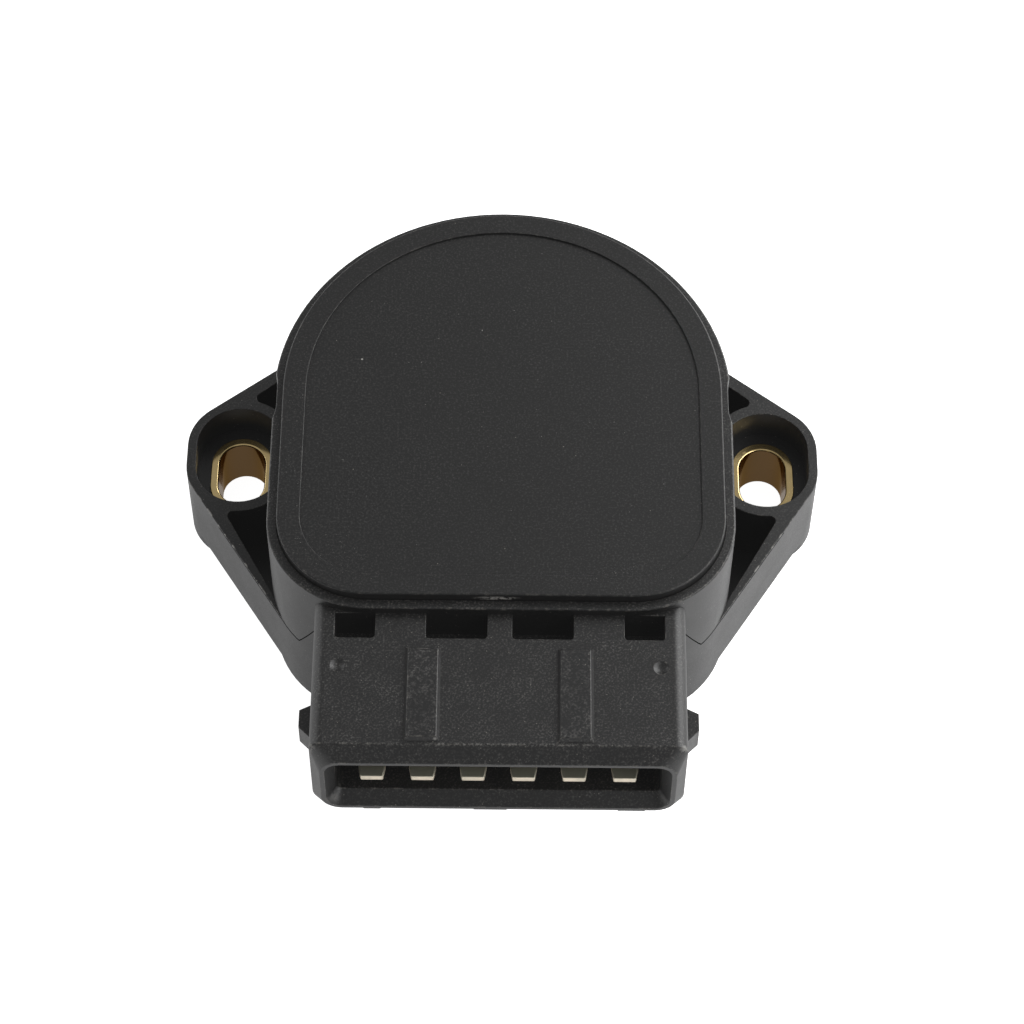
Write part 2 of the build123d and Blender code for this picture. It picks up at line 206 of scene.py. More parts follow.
@dataclass(frozen=True)
class Moulded:
    """Moulded plastic, rubber or ceramic: a skin with a fine grain, mottle, pale flecks and rubbed edges.

    Attributes:
        name: Name of the material.
        colour: Colour of the body.
        cloud: Colour of the mottle.
        fleck: Colour of the flecks, which are fibre ends in a filled plastic.
        worn: Colour of the rubbed edges.
        dust_and_highlight: Colour of the marks, for dust and scuffs and for painted highlights.
        ior: Index of refraction.
        roughness: Middle of the roughness.
        roughness_spread: Range of the roughness over the mottle.
        patch_mm: Size of the broad patches.
        patch_spread: Range of the roughness over the patches.
        patch_mottle: Share by which the mottle comes and goes over the patches.
        grain_mm: Size of the grain of the skin.
        grain_depth_mm: Depth of the grain.
        cloud_mm: Size of the mottle.
        cloud_range: Values of its noise where the mottle starts and where it is full.
        streak_mm: Length and width of the fibre streaks.
        streak_turn_deg: Turn of the streaks about the vertical.
        streak_share: Share of the streaks in the mottle.
        wall_mottle: Share of the mottle on upright walls.
        wall_range: Upward parts of the normal where a wall ends and where a top starts.
        recess_mottle: Share of the mottle on the lowest faces, which darkens them as painted shade in the
            recesses.
        recess_mm: Heights where the mottle starts to grow and where it is full.
        fleck_spacing_mm: Spacing of the flecks.
        fleck_mm: Radius of a fleck.
        fleck_core: Share of that radius within which a fleck keeps its strength.
        fleck_strength: How pale a fleck is.
        wear_mm: Size of the runs of wear on the edges.
        wear_range: Values of its noise where the wear starts and where it is full.
        wear_strength: How pale the wear is.
        veil: Faint glow, for the haze that a white studio lays over dark surfaces.
        marks: Scuffs, dust and painted highlights.
        seam_shade: Painted shade along the parting line, or None.
    """

    name: str
    colour: str = "#090909"
    cloud: str = "#5f5d5b"
    fleck: str = "#8b877f"
    worn: str = "#8a867f"
    dust_and_highlight: str = "#b4b2ad"
    ior: float = 1.57
    roughness: float = 0.42
    roughness_spread: float = 0.1
    patch_mm: float = 3.0
    patch_spread: float = 0.04
    patch_mottle: float = 0.5
    grain_mm: float = 0.13
    grain_depth_mm: float = 0.006
    cloud_mm: float = 0.2
    cloud_range: Span = (0.5, 0.82)
    streak_mm: Span = (1.5, 0.2)
    streak_turn_deg: float = 50.0
    streak_share: float = 0.22
    wall_mottle: float = 0.3
    wall_range: Span = (0.2, 0.9)
    recess_mottle: float = 0.15
    recess_mm: Span = (6.5, 13.0)
    fleck_spacing_mm: float = 0.7
    fleck_mm: float = 0.06
    fleck_core: float = 0.4
    fleck_strength: float = 0.8
    wear_mm: float = 0.8
    wear_range: Span = (0.5, 0.66)
    wear_strength: float = 0.3
    veil: float = 0.005
    marks: tuple[Mark, ...] = ()
    seam_shade: SeamShade | None = None

    def material(self) -> bpy.types.Material:
        """Builds the node material.

        Returns:
            The material.
        """
        material, tree = new_material(self.name)
        place = add_node(tree, "ShaderNodeTexCoord").outputs["Object"]
        clouds = add_node(tree, "ShaderNodeTexNoise", {
            "Vector": place, "Scale": per_metre(self.cloud_mm),
            "Detail": 3.0, "Roughness": 0.6}).outputs["Fac"]
        patches = add_node(tree, "ShaderNodeTexNoise", {
            "Vector": place, "Scale": per_metre(self.patch_mm), "Detail": 4.0}).outputs["Fac"]
        colour = self.mottled(tree, place, clouds, patches)
        colour = self.flecked(tree, place, colour)
        colour = self.rubbed(tree, place, colour)
        for mark in self.marks:
            colour = self.marked(tree, place, colour, mark)
        gloss = add_node(tree, "ShaderNodeMapRange", {
            "Value": clouds, "From Min": NOISE_LOW, "From Max": NOISE_HIGH,
            "To Min": self.roughness - self.roughness_spread / 2,
            "To Max": self.roughness + self.roughness_spread / 2})
        shift = add_node(tree, "ShaderNodeMapRange", {
            "Value": patches, "From Min": NOISE_LOW, "From Max": NOISE_HIGH,
            "To Min": -self.patch_spread / 2, "To Max": self.patch_spread / 2})
        rough = add_node(tree, "ShaderNodeMath", {0: gloss.outputs["Result"], 1: shift.outputs["Result"]})
        surface = {"Base Color": colour, "Roughness": rough.outputs["Value"]}
        # Painted shade: the parting line is drawn black, rough and without specular.
        if self.seam_shade:
            surface = self.paint_seam_shade(tree, place, surface, self.seam_shade)
        skin = add_node(tree, "ShaderNodeTexNoise", {
            "Vector": place, "Scale": per_metre(self.grain_mm), "Detail": 2.0})
        relief = add_node(tree, "ShaderNodeBump", {
            "Height": skin.outputs["Fac"], "Distance": self.grain_depth_mm * MM, "Strength": 1.0})
        add_surface(tree, surface | {
            "IOR": self.ior, "Normal": relief.outputs["Normal"],
            "Emission Color": WHITE, "Emission Strength": self.veil})
        return material

    def mottled(self, tree: Tree, place: Socket, clouds: Socket, patches: Socket) -> Socket:
        """Lays the mottle and its streaks over the body colour, less of it on walls and on low faces, where
        the loss of pale mottle is painted shade in the recesses.

        Args:
            tree: Node tree of the material.
            place: Object coordinates.
            clouds: Fine noise of the mottle.
            patches: Broad noise, by which the mottle comes and goes.

        Returns:
            The colour.
        """
        length, width = self.streak_mm
        laid = add_node(tree, "ShaderNodeMapping", {
            "Vector": place, "Rotation": (0.0, 0.0, math.radians(self.streak_turn_deg)),
            "Scale": (length * MM, width * MM, width * MM)}, vector_type="TEXTURE")
        streaks = add_node(tree, "ShaderNodeTexNoise", {
            "Vector": laid.outputs["Vector"], "Scale": 1.0, "Detail": 2.0})
        mottle = add_node(tree, "ShaderNodeMix", {
            "Factor": self.streak_share, NUMBER_A: clouds, NUMBER_B: streaks.outputs["Fac"]})
        start, full = self.cloud_range
        spread = add_node(tree, "ShaderNodeMapRange", {
            "Value": mottle.outputs[NUMBER_OUT], "From Min": start, "From Max": full})
        normal = add_node(tree, "ShaderNodeNewGeometry").outputs["Normal"]
        upward = add_node(tree, "ShaderNodeSeparateXYZ", {0: normal}).outputs["Z"]
        wall, top = self.wall_range
        facing = add_node(tree, "ShaderNodeMapRange", {
            "Value": upward, "From Min": wall, "From Max": top, "To Min": self.wall_mottle})
        # Painted shade: low faces get less of the pale mottle, so the recesses are darker.
        height = add_node(tree, "ShaderNodeSeparateXYZ", {0: place}).outputs["Z"]
        floor, brim = self.recess_mm
        recess = add_node(tree, "ShaderNodeMapRange", {
            "Value": height, "From Min": floor * MM, "From Max": brim * MM, "To Min": self.recess_mottle})
        tide = add_node(tree, "ShaderNodeMapRange", {
            "Value": patches, "From Min": NOISE_LOW, "From Max": NOISE_HIGH,
            "To Min": 1 - self.patch_mottle, "To Max": 1 + self.patch_mottle})
        shown = facing.outputs["Result"]
        for share in (recess, tide, spread):
            shown = add_node(tree, "ShaderNodeMath", {
                0: shown, 1: share.outputs["Result"]}, operation="MULTIPLY").outputs["Value"]
        body = add_node(tree, "ShaderNodeMix", {
            "Factor": shown, COLOUR_A: linear(self.colour), COLOUR_B: linear(self.cloud)}, data_type="RGBA")
        return body.outputs[COLOUR_OUT]

    def flecked(self, tree: Tree, place: Socket, colour: Socket) -> Socket:
        """Scatters the pale flecks.

        Args:
            tree: Node tree of the material.
            place: Object coordinates.
            colour: Colour under the flecks.

        Returns:
            The colour with its flecks.
        """
        cells = add_node(tree, "ShaderNodeTexVoronoi", {
            "Vector": place, "Scale": per_metre(self.fleck_spacing_mm)})
        edge = self.fleck_mm / self.fleck_spacing_mm
        flecks = add_node(tree, "ShaderNodeMapRange", {
            "Value": cells.outputs["Distance"], "From Min": edge, "From Max": edge * self.fleck_core,
            "To Min": 0.0, "To Max": self.fleck_strength})
        tint = add_node(tree, "ShaderNodeMix", {
            "Factor": flecks.outputs["Result"], COLOUR_A: colour,
            COLOUR_B: linear(self.fleck)}, data_type="RGBA")
        return tint.outputs[COLOUR_OUT]

    def rubbed(self, tree: Tree, place: Socket, colour: Socket) -> Socket:
        """Pales the rounded edges in ragged runs.

        Args:
            tree: Node tree of the material.
            place: Object coordinates.
            colour: Colour under the wear.

        Returns:
            The colour with its wear.
        """
        runs = add_node(tree, "ShaderNodeTexNoise", {
            "Vector": place, "Scale": per_metre(self.wear_mm), "Detail": 4.0, "Roughness": 0.7})
        start, full = self.wear_range
        wear = add_node(tree, "ShaderNodeMapRange", {
            "Value": runs.outputs["Fac"], "From Min": start, "From Max": full,
            "To Min": 0.0, "To Max": self.wear_strength})
        edge = add_node(tree, "ShaderNodeAttribute", attribute_name=EDGE_LAYER)
        bared = add_node(tree, "ShaderNodeMath", {
            0: wear.outputs["Result"], 1: edge.outputs["Fac"]}, operation="MULTIPLY")
        tint = add_node(tree, "ShaderNodeMix", {
            "Factor": bared.outputs["Value"], COLOUR_A: colour,
            COLOUR_B: linear(self.worn)}, data_type="RGBA")
        return tint.outputs[COLOUR_OUT]

    def marked(self, tree: Tree, place: Socket, colour: Socket, mark: Mark) -> Socket:
        """Lays one mark over the colour: dust, a scuff, or a painted highlight.

        Args:
            tree: Node tree of the material.
            place: Object coordinates.
            colour: Colour under the mark.
            mark: The mark.

        Returns:
            The colour with the mark.
        """
        local = add_node(tree, "ShaderNodeMapping", {
            "Vector": place, "Location": tuple(part * MM for part in mark.place_mm),
            "Rotation": (0.0, 0.0, math.radians(mark.turn_deg)),
            "Scale": tuple(part * MM for part in mark.half_mm)}, vector_type="TEXTURE")
        away = add_node(tree, "ShaderNodeVectorMath", {0: local.outputs["Vector"]}, operation="LENGTH")
        inside = add_node(tree, "ShaderNodeMapRange", {
            "Value": away.outputs["Value"], "From Min": 1.0, "From Max": mark.core,
            "To Min": 0.0, "To Max": mark.strength})
        grains = add_node(tree, "ShaderNodeTexNoise", {
            "Vector": place, "Scale": per_metre(mark.grain_mm), "Detail": 3.0})
        broken = add_node(tree, "ShaderNodeMapRange", {
            "Value": grains.outputs["Fac"], "From Min": mark.thin, "From Max": mark.thin + mark.fade})
        # Mask of the mark; some marks are dust and scuffs, some are painted highlights.
        scuff_and_highlight = add_node(tree, "ShaderNodeMath", {
            0: inside.outputs["Result"], 1: broken.outputs["Result"]}, operation="MULTIPLY")
        tint = add_node(tree, "ShaderNodeMix", {
            "Factor": scuff_and_highlight.outputs["Value"], COLOUR_A: colour,
            COLOUR_B: linear(self.dust_and_highlight)}, data_type="RGBA")
        return tint.outputs[COLOUR_OUT]

    def paint_seam_shade(self, tree: Tree, place: Socket, surface: dict[str, Socket], seam_shade: SeamShade) -> dict[str, Socket]:
        """Paints the shade along the mould's parting line as a thin dark line.

        Args:
            tree: Node tree of the material.
            place: Object coordinates.
            surface: Colour and roughness of the surface.
            seam_shade: The parting line, whose shade is painted.

        Returns:
            Colour, roughness and specular level with the painted shade of the line.
        """
        axis = add_node(tree, "ShaderNodeSeparateXYZ", {0: place})
        across = add_node(tree, "ShaderNodeMath", {
            0: axis.outputs["X"]}, operation="ABSOLUTE").outputs["Value"]
        rise = add_node(tree, "ShaderNodeMapRange", {
            "Value": across, "From Min": seam_shade.turn_x_mm * MM, "From Max": 0.0,
            "To Min": seam_shade.height_mm * MM, "To Max": (seam_shade.height_mm + seam_shade.turn_x_mm * seam_shade.slope) * MM})
        apart = add_node(tree, "ShaderNodeMath", {
            0: axis.outputs["Z"], 1: rise.outputs["Result"]}, operation="SUBTRACT")
        off = add_node(tree, "ShaderNodeMath", {0: apart.outputs["Value"]}, operation="ABSOLUTE")
        line = add_node(tree, "ShaderNodeMapRange", {
            "Value": off.outputs["Value"], "From Min": seam_shade.half_width_mm * MM,
            "From Max": seam_shade.half_width_mm * MM / 2})
        between = add_node(tree, "ShaderNodeMath", {
            0: axis.outputs["Y"], 1: (seam_shade.behind_mm + seam_shade.front_mm) / 2 * MM,
            2: (seam_shade.behind_mm - seam_shade.front_mm) / 2 * MM}, operation="COMPARE")
        quarter = add_node(tree, "ShaderNodeVectorMath", {0: place}, operation="ABSOLUTE")
        turn = math.radians(seam_shade.ear_turn_deg)
        reach = add_node(tree, "ShaderNodeVectorMath", {
            0: quarter.outputs["Vector"], 1: (math.sin(turn), math.cos(turn), 0.0)}, operation="DOT_PRODUCT")
        on_ear = add_node(tree, "ShaderNodeMath", {
            0: reach.outputs["Value"], 1: seam_shade.ear_reach_mm * MM}, operation="GREATER_THAN")
        on_corner = add_node(tree, "ShaderNodeMath", {
            0: axis.outputs["Y"], 1: seam_shade.corner_mm * MM}, operation="LESS_THAN")
        outer = add_node(tree, "ShaderNodeMath", {
            0: on_ear.outputs["Value"], 1: on_corner.outputs["Value"]}, operation="MAXIMUM")
        beside = add_node(tree, "ShaderNodeMath", {
            0: across, 1: seam_shade.end_x_mm * MM}, operation="GREATER_THAN")
        shown = between.outputs["Value"]
        for share in (outer.outputs["Value"], beside.outputs["Value"], line.outputs["Result"]):
            shown = add_node(tree, "ShaderNodeMath", {
                0: shown, 1: share}, operation="MULTIPLY").outputs["Value"]
        # Painted shade in the line: black colour, full roughness, no specular.
        painted_shade = add_node(tree, "ShaderNodeMix", {
            "Factor": shown, COLOUR_A: surface["Base Color"], COLOUR_B: BLACK}, data_type="RGBA")
        dull = add_node(tree, "ShaderNodeMix", {
            "Factor": shown, NUMBER_A: surface["Roughness"], NUMBER_B: seam_shade.roughness})
        level = add_node(tree, "ShaderNodeMapRange", {
            "Value": shown, "To Min": seam_shade.specular, "To Max": 0.0})
        return {"Base Color": painted_shade.outputs[COLOUR_OUT], "Roughness": dull.outputs[NUMBER_OUT],
                "Specular IOR Level": level.outputs["Result"]}


@dataclass(frozen=True)
class Metal:
    """Drawn, turned, plated or rolled metal: fine lines along the work, dull patches and a slight tarnish.

    Attributes:
        name: Name of the material.
        colour: Colour of the bright metal.
        tarnish: Colour of the dull metal.
        metallic: Share of bare metal.
        roughness: Middle of the roughness.
        roughness_spread: Range of the roughness over the lines.
        line_mm: Size of the lines along each axis.
        line_depth_mm: Depth of the lines.
        patch_mm: Size of the dull patches.
        tarnish_level: Tarnish in the middle of a patch.
        tarnish_range: Values of its noise where the tarnish starts and where it is full.
        wall_shade: Least tarnish on upright walls, which paints shade on them.
        top_tarnish: Least tarnish on tops.
        wall_range: Upward parts of the normal where a wall ends and where a top starts.
        edge_tint: Tint of the metal at grazing angles.
    """

    name: str
    colour: str
    tarnish: str
    metallic: float = 1.0
    roughness: float = 0.32
    roughness_spread: float = 0.16
    line_mm: Point = (0.08, 0.08, 3.0)
    line_depth_mm: float = 0.002
    patch_mm: float = 1.6
    tarnish_level: float = 0.5
    tarnish_range: Span = (0.35, 0.75)
    wall_shade: float = 0.0
    top_tarnish: float = 0.0
    wall_range: Span = (0.2, 0.6)
    edge_tint: str = "#ffffff"

    def material(self) -> bpy.types.Material:
        """Builds the node material.

        Returns:
            The material.
        """
        material, tree = new_material(self.name)
        place = add_node(tree, "ShaderNodeTexCoord").outputs["Object"]
        patches = add_node(tree, "ShaderNodeTexNoise", {
            "Vector": place, "Scale": per_metre(self.patch_mm), "Detail": 5.0, "Roughness": 0.6})
        drawn = add_node(tree, "ShaderNodeMapping", {
            "Vector": place, "Scale": tuple(per_metre(size) for size in self.line_mm)})
        lines = add_node(tree, "ShaderNodeTexNoise", {
            "Vector": drawn.outputs["Vector"], "Scale": 1.0, "Detail": 2.0})
        start, full = self.tarnish_range
        amount = add_node(tree, "ShaderNodeMapRange", {
            "Value": patches.outputs["Fac"], "From Min": start, "From Max": full,
            "To Min": 0.0, "To Max": self.tarnish_level})
        # Upright walls take at least a set share of the dark tarnish colour; on the bushes this paints shade
        # in the bore.
        normal = add_node(tree, "ShaderNodeNewGeometry").outputs["Normal"]
        upward = add_node(tree, "ShaderNodeSeparateXYZ", {0: normal}).outputs["Z"]
        wall, top = self.wall_range
        least = add_node(tree, "ShaderNodeMapRange", {
            "Value": upward, "From Min": wall, "From Max": top,
            "To Min": self.wall_shade, "To Max": self.top_tarnish})
        dull = add_node(tree, "ShaderNodeMath", {
            0: amount.outputs["Result"], 1: least.outputs["Result"]}, operation="MAXIMUM")
        tint = add_node(tree, "ShaderNodeMix", {
            "Factor": dull.outputs["Value"], COLOUR_A: linear(self.colour),
            COLOUR_B: linear(self.tarnish)}, data_type="RGBA")
        gloss = add_node(tree, "ShaderNodeMapRange", {
            "Value": lines.outputs["Fac"], "From Min": NOISE_LOW, "From Max": NOISE_HIGH,
            "To Min": self.roughness - self.roughness_spread / 2,
            "To Max": self.roughness + self.roughness_spread / 2})
        relief = add_node(tree, "ShaderNodeBump", {
            "Height": lines.outputs["Fac"], "Distance": self.line_depth_mm * MM, "Strength": 1.0})
        add_surface(tree, {
            "Base Color": tint.outputs[COLOUR_OUT], "Metallic": self.metallic,
            "Roughness": gloss.outputs["Result"], "Specular Tint": linear(self.edge_tint),
            "Normal": relief.outputs["Normal"]})
        return material


# Glass-filled polyester, moulded: near-black satin with fibre streaks, pale fibre ends and rubbed edges.
# Its mottle and flecks are drawn coarser than real fibres, so that they show.
CASE_FINISH = Moulded("glass_filled_polyester", seam_shade=SeamShade(), marks=(
    # Front edge of the shroud's top
    Mark((0.0, -40.55, 20.6), (22.0, 0.26, 0.24), strength=0.2, grain_mm=0.22, thin=0.5),
    # Painted highlights on the lower corners of the shroud's mouth
    Mark((-16.05, -41.8, 11.3), (0.75, 0.9, 0.75), strength=0.3, grain_mm=0.35, thin=0.32),
    Mark((16.1, -41.8, 11.5), (0.75, 0.9, 0.75), strength=0.3, grain_mm=0.35, thin=0.32),
    # Front corners of the ribs
    Mark((-6.2, -40.0, 20.8), (0.25, 0.25, 0.25), strength=0.6, grain_mm=1.0, thin=0.2),
    Mark((9.0, -39.95, 20.8), (0.18, 0.18, 0.25), strength=0.6, grain_mm=1.0, thin=0.2),
    # Upper front corners of the shroud
    Mark((-18.2, -40.5, 19.6), (0.7, 0.5, 0.9), strength=0.4, grain_mm=0.4),
    Mark((18.0, -40.5, 20.0), (0.7, 0.4, 0.6), strength=0.5, grain_mm=0.4),
    # Front edges of the ears: pale wear, with a painted highlight along them
    Mark((-27.6, -12.3, 9.98), (11.0, 0.16, 0.16), strength=1.0, grain_mm=0.7, thin=0.5, turn_deg=122.5),
    Mark((27.6, -12.3, 9.98), (11.0, 0.16, 0.16), strength=0.5, grain_mm=0.7, thin=0.5, turn_deg=57.5),
))

# Polyester with less fibre, moulded: black and satin, with a fine even grain and some dust.
LID_FINISH = Moulded(
    "lid_polyester", colour="#0a0a0a", cloud="#3b3a39", ior=1.5, roughness=0.44, patch_spread=0.01,
    patch_mottle=0.2, grain_mm=0.11, grain_depth_mm=0.005, cloud_mm=0.22, streak_share=0.0,
    fleck_spacing_mm=2.2, fleck_mm=0.07, wear_strength=0.2, marks=(
        # Scuff on the front edge
        Mark((-0.3, -24.8, 22.0), (2.6, 0.5, 0.4), strength=0.8, grain_mm=0.45),
        # Dust along the border
        Mark((13.0, -22.4, 22.65), (8.0, 3.0, 0.6), strength=0.6, grain_mm=0.14, thin=0.66),
        Mark((-21.0, -6.0, 22.65), (1.8, 22.0, 0.6), strength=0.5, grain_mm=0.14, thin=0.66),
        Mark((-17.0, -20.0, 22.65), (6.0, 5.0, 0.6), strength=0.6, grain_mm=0.14, thin=0.66),
        # One speck, and fine specks all over
        Mark((-14.65, 3.84, 22.43), (0.14, 0.14, 0.14), strength=0.9, grain_mm=2.0, thin=0.0),
        Mark((0.0, 0.0, 22.5), (34.0, 36.0, 2.0), strength=0.9, grain_mm=0.26, thin=0.73),
    ))

# Brass, drawn: bright gold rims, with brown walls in the bore; that brown is painted shade.
BUSH_FINISH = Metal(
    "drawn_brass", colour="#f2d79c", tarnish="#5f4632", roughness=0.13, roughness_spread=0.06,
    line_depth_mm=0.0004, tarnish_level=0.15, wall_shade=0.92, edge_tint="#d9c8b2")

# Brass, tinned and stamped: pale sheared ends and dull grey-green faces.
BLADE_FINISH = Metal(
    "tinned_brass", colour="#e6dac6", tarnish="#9b9d8d", metallic=0.65, roughness=0.42,
    line_mm=(0.06, 2.5, 0.06), line_depth_mm=0.0004, top_tarnish=0.8)

# Brass, turned: warm gold with fine rings.
SLEEVE_FINISH = Metal("turned_brass", colour="#c39a55", tarnish="#7d5f36", line_mm=(1.5, 1.5, 0.07))

# Phosphor bronze, rolled: coppery, with lines along the strip.
WIPER_FINISH = Metal("phosphor_bronze", colour="#b07a48", tarnish="#6e4a2c", line_mm=(0.06, 2.0, 0.06))

# Spring steel, drawn: mid grey with dark patches.
SPRING_FINISH = Metal("spring_steel", colour="#8d8d8c", tarnish="#4c4a47", line_mm=(2.0, 2.0, 0.05))

# Nitrile rubber, moulded: black and dull.
RUBBER_FINISH = Moulded(
    "nitrile_rubber", colour="#1b1b1b", cloud="#242424", ior=1.52, roughness=0.72, fleck_strength=0.0)

# Alumina ceramic, fired: off-white and matt.
CERAMIC_FINISH = Moulded(
    "alumina_ceramic", colour="#dcd8cf", cloud="#e6e3db", fleck="#b9b4a8", ior=1.7, roughness=0.6)

# Natural polyamide, moulded: cream and satin.
ROTOR_FINISH = Moulded(
    "natural_polyamide", colour="#b9b09c", cloud="#c6beac", fleck="#dfd9cb", ior=1.53, roughness=0.5)


@dataclass(frozen=True)
class Rounding:
    """How the edges of a copied solid are rounded.

    Attributes:
        width_mm: Width of the rounding.
        corner_deg: Least turn between two faces that counts as an edge.
        segments: Facets across the rounding.
        sharp_deg: Least turn between two faces that is shaded as a sharp edge.
        merge_mm: Distance within which corners of the copy are joined.
        flat_deg: Turn between two facets up to which they become one face.
    """

    width_mm: float
    corner_deg: float = 30.0
    segments: int = 3
    sharp_deg: float = 46.0
    merge_mm: float = 0.002
    flat_deg: float = 0.5


def add_piece(mesh: bpy.types.Mesh, material: bpy.types.Material) -> bpy.types.Object:
    """Links a mesh to the scene as a piece of its own name, with one material.

    Args:
        mesh: Mesh of the piece.
        material: Finish of the piece.

    Returns:
        The new piece.
    """
    piece = bpy.data.objects.new(mesh.name, mesh)
    bpy.context.scene.collection.objects.link(piece)
    dress(piece, material)
    log.info("%s: %d faces", piece.name, len(mesh.polygons))
    return piece


def dress(piece: bpy.types.Object, material: bpy.types.Material) -> None:
    """Gives a piece one material."""
    piece.data.materials.clear()
    piece.data.materials.append(material)


def copied_mesh(node: str, name: str) -> bpy.types.Mesh:
    """Copies the mesh of a solid.

    Args:
        node: Name of the solid.
        name: Name of the new mesh.

    Returns:
        The new mesh.
    """
    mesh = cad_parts[node].data.copy()
    mesh.name = name
    return mesh


def rounded_mesh(node: str, name: str, rounding: Rounding) -> bpy.types.Mesh:
    """Copies a solid's mesh and rounds its outer edges, which are marked for wear.

    Args:
        node: Name of the solid.
        name: Name of the new mesh.
        rounding: Width and fineness of the rounding.

    Returns:
        The new mesh.
    """
    mesh = copied_mesh(node, name)
    if "custom_normal" in mesh.attributes:
        mesh.attributes.remove(mesh.attributes["custom_normal"])
    form = bmesh.new()
    form.from_mesh(mesh)
    edge_layer = form.faces.layers.float.new(EDGE_LAYER)
    bmesh.ops.remove_doubles(form, verts=form.verts[:], dist=rounding.merge_mm * MM)
    bmesh.ops.dissolve_limit(
        form, angle_limit=math.radians(rounding.flat_deg), verts=form.verts[:], edges=form.edges[:])
    corner = math.radians(rounding.corner_deg)
    edges = [edge for edge in form.edges if edge.is_manifold and edge.calc_face_angle_signed() > corner]
    rounded = bmesh.ops.bevel(
        form, geom=edges, offset=rounding.width_mm * MM, offset_type="OFFSET", affect="EDGES",
        segments=rounding.segments, profile=0.5, material=-1, clamp_overlap=False)
    for face in rounded["faces"]:
        face[edge_layer] = 1.0
    for face in form.faces:
        face.smooth = True
    form.to_mesh(mesh)
    form.free()
    mesh.set_sharp_from_angle(angle=math.radians(rounding.sharp_deg))
    return mesh


def replace_solid(node: str, name: str, rounding: Rounding, material: bpy.types.Material) -> None:
    """Replaces a solid of the case with its rounded and dressed copy.

    Args:
        node: Name of the solid.
        name: Name of the new piece.
        rounding: Rounding of its edges.
        material: Finish of the piece.
    """
    piece = add_piece(rounded_mesh(node, name, rounding), material)
    weighted = piece.modifiers.new("flat_faces", "WEIGHTED_NORMAL")
    weighted.keep_sharp = True
    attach(piece, Body.CASE.value)
    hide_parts(node)


@dataclass(frozen=True)
class Flash:
    """Thin flash that the mould left under the lower lip of the shroud.

    Attributes:
        middles_mm: X of the middle of each sliver.
        widths_mm: Width of each sliver.
        depth_mm: Depth of the slivers along Y.
        height_mm: Height of the slivers.
        front_mm: Y of their front.
        top_mm: Height of their top, which lies in the lip.
        edge_mm: Rounding of their edges.
        edge_segments: Facets across that rounding.
    """

    middles_mm: tuple[float, ...] = (-12.6, -0.8, 13.3)
    widths_mm: tuple[float, ...] = (1.8, 3.4, 2.8)
    depth_mm: float = 0.36
    height_mm: float = 0.28
    front_mm: float = -41.97
    top_mm: float = 9.84
    edge_mm: float = 0.1
    edge_segments: int = 2

    def build(self, material: bpy.types.Material) -> None:
        """Makes the slivers.

        Args:
            material: Finish of the case.
        """
        for number, (middle, width) in enumerate(zip(self.middles_mm, self.widths_mm), start=1):
            place = Vector((middle, self.front_mm + self.depth_mm / 2, self.top_mm - self.height_mm / 2))
            form = bmesh.new()
            bmesh.ops.create_cube(form, size=MM)
            bmesh.ops.scale(form, vec=(width, self.depth_mm, self.height_mm), verts=form.verts[:])
            bmesh.ops.translate(form, verts=form.verts[:], vec=place * MM)
            bmesh.ops.bevel(
                form, geom=form.edges[:], offset=self.edge_mm * MM, offset_type="OFFSET", affect="EDGES",
                segments=self.edge_segments, profile=0.5, material=-1)
            mesh = bpy.data.meshes.new(f"flash_{number}")
            form.to_mesh(mesh)
            form.free()
            piece = add_piece(mesh, material)
            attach(piece, Body.CASE.value)


@dataclass
class Case:
    """Moulded case with its ears and plug shroud, and its flash."""

    rounding: Rounding = Rounding(0.08)
    flash: Flash = Flash()

    def build(self) -> None:
        """Makes the rounded case and its flash."""
        plastic = CASE_FINISH.material()
        replace_solid("housing", "case_moulding", self.rounding, plastic)
        self.flash.build(plastic)


@dataclass
class Lid:
    """Flat lid in the rim of the case."""

    rounding: Rounding = Rounding(0.06)

    def build(self) -> None:
        """Makes the rounded lid."""
        replace_solid("cover", "lid", self.rounding, LID_FINISH.material())


@dataclass
class Metalwork:
    """Bushes in the ears and blades in the shroud."""

    bush_rounding: Rounding = Rounding(0.08, sharp_deg=20.0)
    blade_rounding: Rounding = Rounding(0.12, corner_deg=50.0)
    blade_count: int = 6

    def build(self) -> None:
        """Makes the rounded metal pieces."""
        brass = BUSH_FINISH.material()
        tin = BLADE_FINISH.material()
        for side in ("left", "right"):
            replace_solid(f"{side}_bush", f"{side}_screw_bush", self.bush_rounding, brass)
        for number in range(1, self.blade_count + 1):
            replace_solid(f"terminal_{number}", f"blade_{number}", self.blade_rounding, tin)


@dataclass
class Works:
    """Pieces inside the case, which keep their solids, and a copy of the spring.

    Attributes:
        finishes: Finish of each solid.
        spring_foot_mm: Height up to which the spring stays with the case; not used.
        spring_head_mm: Height from which it turns with the rotor; not used.
    """

    finishes: dict[str, Moulded | Metal] = field(default_factory=lambda: {
        "cover_bead": RUBBER_FINISH,
        "shaft_seal": RUBBER_FINISH,
        "base_seal": RUBBER_FINISH,
        "track_plate": CERAMIC_FINISH,
        "rotor": ROTOR_FINISH,
        "drive_sleeve": SLEEVE_FINISH,
        "wiper_inner": WIPER_FINISH,
        "wiper_outer": WIPER_FINISH,
        "thrust_washer": SPRING_FINISH,
    })
    spring_foot_mm: float = 4.2
    spring_head_mm: float = 7.8

    def build(self) -> None:
        """Dresses the solids and copies the spring."""
        materials = {finish: finish.material() for finish in dict.fromkeys(self.finishes.values())}
        for node, finish in self.finishes.items():
            dress(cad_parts[node], materials[finish])
            log.info("%s: %s", node, finish.name)
        self.twist_spring(materials[SPRING_FINISH])

    def twist_spring(self, steel: bpy.types.Material) -> None:
        """Makes a dressed copy of the coil in place of its solid.

        Args:
            steel: Finish of the spring.
        """
        piece = add_piece(copied_mesh("return_spring", "torsion_spring"), steel)
        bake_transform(piece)
        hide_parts("return_spring")


